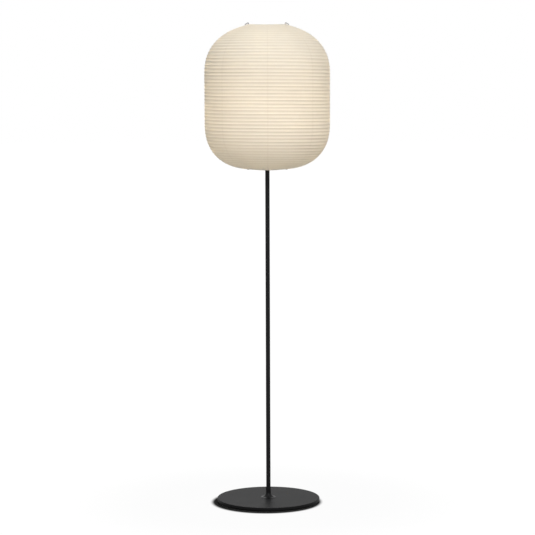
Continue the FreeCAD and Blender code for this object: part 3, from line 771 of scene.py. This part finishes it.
def make_finishes(lantern, finishes):
    """Every finish. The values of a grained one are its name, colour and patch colour, the size
    of grain and patches in millimetres, the roughness, its spread and the bump in millimetres."""
    base_patch, pole_patch = 1.25, 1.3      # how much paler a coat's patches are
    make_grain_group()
    make_fibre_group()
    coat = tuple(finishes.coat_colour)
    base = tuple(finishes.paler_base_coat_colour)
    grained("base_coat", base, [c * base_patch for c in base], 0.7, 60, 0.46, 0.05, 0.05,
            Specular_IOR_Level=0.03)
    grained("pole_coat", coat, [c * pole_patch for c in coat], 0.7, 45, 0.42, 0.06, 0.04,
            Specular_IOR_Level=0.12)
    grained("pad_foam", (0.03, 0.03, 0.03), (0.045, 0.045, 0.045), 0.9, 12, 0.92, 0.05, 0.25)
    grained("gland_plastic", (0.02, 0.02, 0.02), (0.026, 0.026, 0.026), 0.5, 9, 0.55, 0.06, 0.03)
    grained("zinc_steel", (0.62, 0.62, 0.60), (0.52, 0.53, 0.54), 0.6, 6, 0.30, 0.12, 0.02,
            stretch=(1, 1, 4), Metallic=1.0)
    grained("holder_plastic", (0.016, 0.016, 0.016), (0.022, 0.022, 0.022), 0.6, 10, 0.48,
            0.07, 0.03)
    grained("porcelain", (0.84, 0.83, 0.79), (0.80, 0.78, 0.73), 1.2, 8, 0.22, 0.06, 0.02,
            Coat_Weight=0.6, Coat_Roughness=0.08)
    grained("terminal_brass", (0.78, 0.58, 0.27), (0.62, 0.44, 0.20), 0.5, 4, 0.30, 0.12, 0.02,
            Metallic=1.0)
    grained("shell_nickel", (0.76, 0.73, 0.67), (0.64, 0.60, 0.54), 0.6, 7, 0.22, 0.10, 0.015,
            stretch=(1, 1, 3), Metallic=1.0)
    grained("opal_glass", (0.96, 0.94, 0.90), (0.93, 0.90, 0.84), 1.0, 20, 0.28, 0.05, 0.01,
            Emission_Color=(*finishes.bulb_colour, 1), Emission_Strength=finishes.bulb_strength)
    grained("cap_nickel", (0.80, 0.79, 0.76), (0.68, 0.66, 0.62), 0.6, 6, 0.26, 0.10, 0.015,
            stretch=(1, 1, 3), Metallic=1.0)
    grained("black_glass", (0.012, 0.012, 0.012), (0.02, 0.02, 0.02), 0.8, 5, 0.15, 0.05, 0.01,
            Coat_Weight=0.4)
    grained("solder_tin", (0.70, 0.70, 0.70), (0.56, 0.56, 0.57), 1.0, 3, 0.36, 0.14, 0.08,
            Metallic=1.0)
    grained("clear_glass", (0.93, 0.96, 0.96), (0.90, 0.94, 0.94), 2.0, 15, 0.05, 0.02, 0.005,
            Transmission_Weight=1.0, IOR=1.5)
    grained("phosphor", (0.95, 0.68, 0.22), (0.88, 0.58, 0.16), 0.4, 3, 0.6, 0.08, 0.03,
            Emission_Color=(1.0, 0.72, 0.35, 1), Emission_Strength=20.0)
    grained("frame_zinc", (0.32, 0.32, 0.315), (0.25, 0.255, 0.26), 0.5, 5, 0.42, 0.12, 0.02,
            stretch=(1, 1, 0.4), Metallic=0.8, Specular_IOR_Level=0.3)
    paper_finish(lantern)


# ---- Stage ----

def soft_lamp(name, power, size, place, aim):
    clear_selection()
    bpy.ops.object.light_add(type="AREA", location=place)
    lamp = bpy.context.object
    lamp.name = name
    lamp.data.shape = "SQUARE"
    lamp.data.size = size
    lamp.data.energy = power
    lamp.rotation_euler = (Vector(aim) - Vector(place)).to_track_quat("-Z", "Y").to_euler()


def white_rays(tree):
    """1 for the rays that see the backdrop itself, directly, in gloss or through glass."""
    path = add_node(tree, "ShaderNodeLightPath")
    seen = math_node(tree, "MAXIMUM", path.outputs["Is Camera Ray"], path.outputs["Is Glossy Ray"])
    return math_node(tree, "MAXIMUM", seen, path.outputs["Is Transmission Ray"])


def stage_floor():
    """A pale floor that looks white, with a narrow painted shadow where the base meets it."""
    shade_left = 0.005              # how far the painted shadow lies to the left of the pole axis
    shade_edge = (0.144, 0.158)     # radii over which the white comes up
    painted_shadow_edge = (0.143, 0.156)      # radii over which the matt part goes from painted shadow to pale
    # matt colour of the painted shadow, and of the rest of the floor
    dark, pale = 0.03, 0.42
    far_edge = (0.25, 0.8)          # radii over which the last of the matt part goes
    near_white = 0.92               # share of white inside them
    white_strength = 1.03           # a little over 1, which the matt part takes off again
    clear_selection()
    bpy.ops.mesh.primitive_circle_add(
        vertices=96, radius=40, fill_type="NGON", location=(0, 0, 0))
    floor = bpy.context.object
    floor.name = "stage_floor"
    tree = new_finish("stage_white")
    place = add_node(tree, "ShaderNodeTexCoord")
    aside = add_node(tree, "ShaderNodeMapping", {
        "Vector": place.outputs["Object"], "Location": (shade_left, 0, 0)})
    reach = add_node(tree, "ShaderNodeVectorMath", {0: aside.outputs["Vector"]},
                     operation="LENGTH").outputs["Value"]
    whiteness = math_node(tree, "MULTIPLY", ramp(tree, reach, *shade_edge, 0.0, 1.0),
                          ramp(tree, reach, *far_edge, near_white, 1.0))
    white = add_node(tree, "ShaderNodeEmission", {"Color": WHITE, "Strength": white_strength})
    # painted shadow: the matt colour is dark close round the base
    matt = add_node(tree, "ShaderNodeBsdfDiffuse", {
        "Color": ramp(tree, reach, *painted_shadow_edge, dark, pale)})
    blend_shaders(tree, math_node(tree, "MULTIPLY", whiteness, white_rays(tree)),
                  matt.outputs["BSDF"], white.outputs["Emission"])
    floor.data.materials.append(finish_of("stage_white"))


def stage_room(strength):
    """Plain light from all round, and white where the camera looks past the lamp."""
    world = bpy.data.worlds.new("stage_room")
    bpy.context.scene.world = world
    world.use_nodes = True
    tree = world.node_tree
    tree.nodes.clear()
    lighting = add_node(tree, "ShaderNodeBackground", {"Color": WHITE, "Strength": strength})
    white = add_node(tree, "ShaderNodeBackground", {"Color": WHITE, "Strength": 1.0})
    blend_shaders(tree, white_rays(tree), lighting.outputs["Background"],
                  white.outputs["Background"], output="ShaderNodeOutputWorld")


def stage_camera(stage):
    clear_selection()
    bpy.ops.object.camera_add(
        location=(stage.camera_side, -stage.camera_distance, stage.camera_height))
    camera = bpy.context.object
    camera.name = "photo_camera"
    tilt = Matrix.Rotation(math.pi / 2 - stage.camera_pitch, 3, "X")
    roll = Matrix.Rotation(-stage.camera_roll, 3, "Z")
    camera.rotation_euler = (tilt @ roll).to_euler()
    camera.data.sensor_width = SENSOR_WIDTH_MM
    camera.data.lens = stage.lens
    bpy.context.scene.camera = camera


# ---- Operators ----

class LAMP_OT_finishes(bpy.types.Operator):
    """Make the paper, coat, metal, glass and plastic finishes"""

    bl_idname = "lamp.finishes"
    bl_label = "Finishes"

    def execute(self, context):
        make_finishes(context.scene.lamp_lantern, context.scene.lamp_finish)
        return {"FINISHED"}


class LAMP_OT_base(bpy.types.Operator):
    """Dress the disc, its pad, the gland and the hidden fasteners"""

    bl_idname = "lamp.base"
    bl_label = "Base"

    def execute(self, context):
        dress("base_coat", "base_plate")
        dress("pad_foam", "base_pad")
        dress("gland_plastic", "cord_gland")
        dress("zinc_steel", "base_nut", "base_washer", "base_nipple")
        return {"FINISHED"}


class LAMP_OT_pole(bpy.types.Operator):
    """Dress the trumpet foot, the two pole tubes and the nipples that join them"""

    bl_idname = "lamp.pole"
    bl_label = "Pole"

    def execute(self, context):
        dress("pole_coat", "stem_foot", "lower_tube", "upper_tube")
        dress("zinc_steel", "pole_joiner", "top_nipple")
        return {"FINISHED"}


class LAMP_OT_holder(bpy.types.Operator):
    """Dress the lampholder, its contacts and the clamp ring"""

    bl_idname = "lamp.holder"
    bl_label = "Lampholder"

    def execute(self, context):
        dress("holder_plastic", "holder_cap", "holder_sleeve", "clamp_ring")
        dress("porcelain", "terminal_block")
        dress("shell_nickel", "screw_shell")
        dress("terminal_brass", "wire_terminals", "centre_contact")
        dress("zinc_steel", "terminal_screws", "holder_grub_screw")
        return {"FINISHED"}


class LAMP_OT_bulb(bpy.types.Operator):
    """Dress the lit globe bulb and its cap"""

    bl_idname = "lamp.bulb"
    bl_label = "Bulb"

    def execute(self, context):
        dress("opal_glass", "bulb_globe")
        dress("cap_nickel", "bulb_cap")
        dress("black_glass", "bulb_insulator")
        dress("solder_tin", "bulb_button")
        dress("clear_glass", "bulb_stem")
        dress("phosphor", "bulb_filaments")
        return {"FINISHED"}


class LAMP_OT_paper(bpy.types.Operator):
    """Roll the ribbed paper skin over both rims"""

    bl_idname = "lamp.paper"
    bl_label = "Lantern paper"

    def execute(self, context):
        lantern_paper(context.scene.lamp_lantern)
        return {"FINISHED"}


class LAMP_OT_rib(bpy.types.Operator):
    """Wind the rib wire inside the paper"""

    bl_idname = "lamp.rib"
    bl_label = "Rib wire"

    def execute(self, context):
        rib_wire(context.scene.lamp_lantern)
        return {"FINISHED"}


class LAMP_OT_frame(bpy.types.Operator):
    """Bend the rims and uprights, and dress the carrier that holds them"""

    bl_idname = "lamp.frame"
    bl_label = "Lantern frame"

    def execute(self, context):
        lantern, wires = context.scene.lamp_lantern, context.scene.lamp_frame
        outline = Outline(lantern)
        for name, node, level, droop in (
                ("rim_wire_top", "top_rim_wire", outline.top, lantern.top_droop),
                ("rim_wire_bottom", "bottom_rim_wire", outline.bottom, lantern.bottom_droop)):
            rim_wire(name, node, level, droop, outline, wires)
        frame_upright("upright_left", "frame_upright_left", -1, outline, wires)
        frame_upright("upright_right", "frame_upright_right", 1, outline, wires)
        dress("frame_zinc", "frame_carrier")
        return {"FINISHED"}


class LAMP_OT_stage(bpy.types.Operator):
    """Set the pale floor, the soft lamps and the camera"""

    bl_idname = "lamp.stage"
    bl_label = "Stage"

    def execute(self, context):
        stage = context.scene.lamp_stage
        stage_floor()
        stage_room(stage.room_strength)
        stage_camera(stage)
        lamp_middle = (0, 0, 0.85)
        for name, power, size, place in (
                ("top_lamp", stage.key_power, 2.6, (0.2, -0.8, 3.6)),
                ("front_lamp", stage.fill_power, 1.8, (0.35, -3.3, 2.8)),
                ("back_lamp", stage.back_power, 1.8, (-0.5, 3.4, 3.0))):
            soft_lamp(name, power, size, place, lamp_middle)
        context.scene.view_settings.view_transform = "Standard"
        return {"FINISHED"}


class LAMP_PT_build(bpy.types.Panel):
    """Steps of the lamp, in the order they are made"""

    bl_idname = "LAMP_PT_build"
    bl_label = "Paper Lantern Floor Lamp"
    bl_space_type = "VIEW_3D"
    bl_region_type = "UI"
    bl_category = "Lamp"

    def draw(self, context):
        for step in STEPS:
            self.layout.operator(step.bl_idname)
        for label in SETTINGS:
            group = getattr(context.scene, label)
            box = self.layout.box()
            for name in group.bl_rna.properties.keys():
                if name not in ("rna_type", "name"):
                    box.prop(group, name)


STEPS = (
    LAMP_OT_finishes, LAMP_OT_base, LAMP_OT_pole, LAMP_OT_holder, LAMP_OT_bulb,
    LAMP_OT_paper, LAMP_OT_rib, LAMP_OT_frame, LAMP_OT_stage,
)
SETTINGS = {
    "lamp_lantern": LanternSettings,
    "lamp_frame": FrameSettings,
    "lamp_finish": FinishSettings,
    "lamp_stage": StageSettings,
}


def register():
    for group in SETTINGS.values():
        bpy.utils.register_class(group)
    for label, group in SETTINGS.items():
        setattr(bpy.types.Scene, label, bpy.props.PointerProperty(type=group))
    for step in STEPS:
        bpy.utils.register_class(step)
    bpy.utils.register_class(LAMP_PT_build)


def unregister():
    bpy.utils.unregister_class(LAMP_PT_build)
    for step in reversed(STEPS):
        bpy.utils.unregister_class(step)
    for label, group in SETTINGS.items():
        delattr(bpy.types.Scene, label)
        bpy.utils.unregister_class(group)


def main():
    register()
    bpy.ops.lamp.finishes()
    bpy.ops.lamp.base()
    bpy.ops.lamp.pole()
    bpy.ops.lamp.holder()
    bpy.ops.lamp.bulb()
    bpy.ops.lamp.paper()
    bpy.ops.lamp.rib()
    bpy.ops.lamp.frame()
    bpy.ops.lamp.stage()


if __name__ == "__main__":
    main()
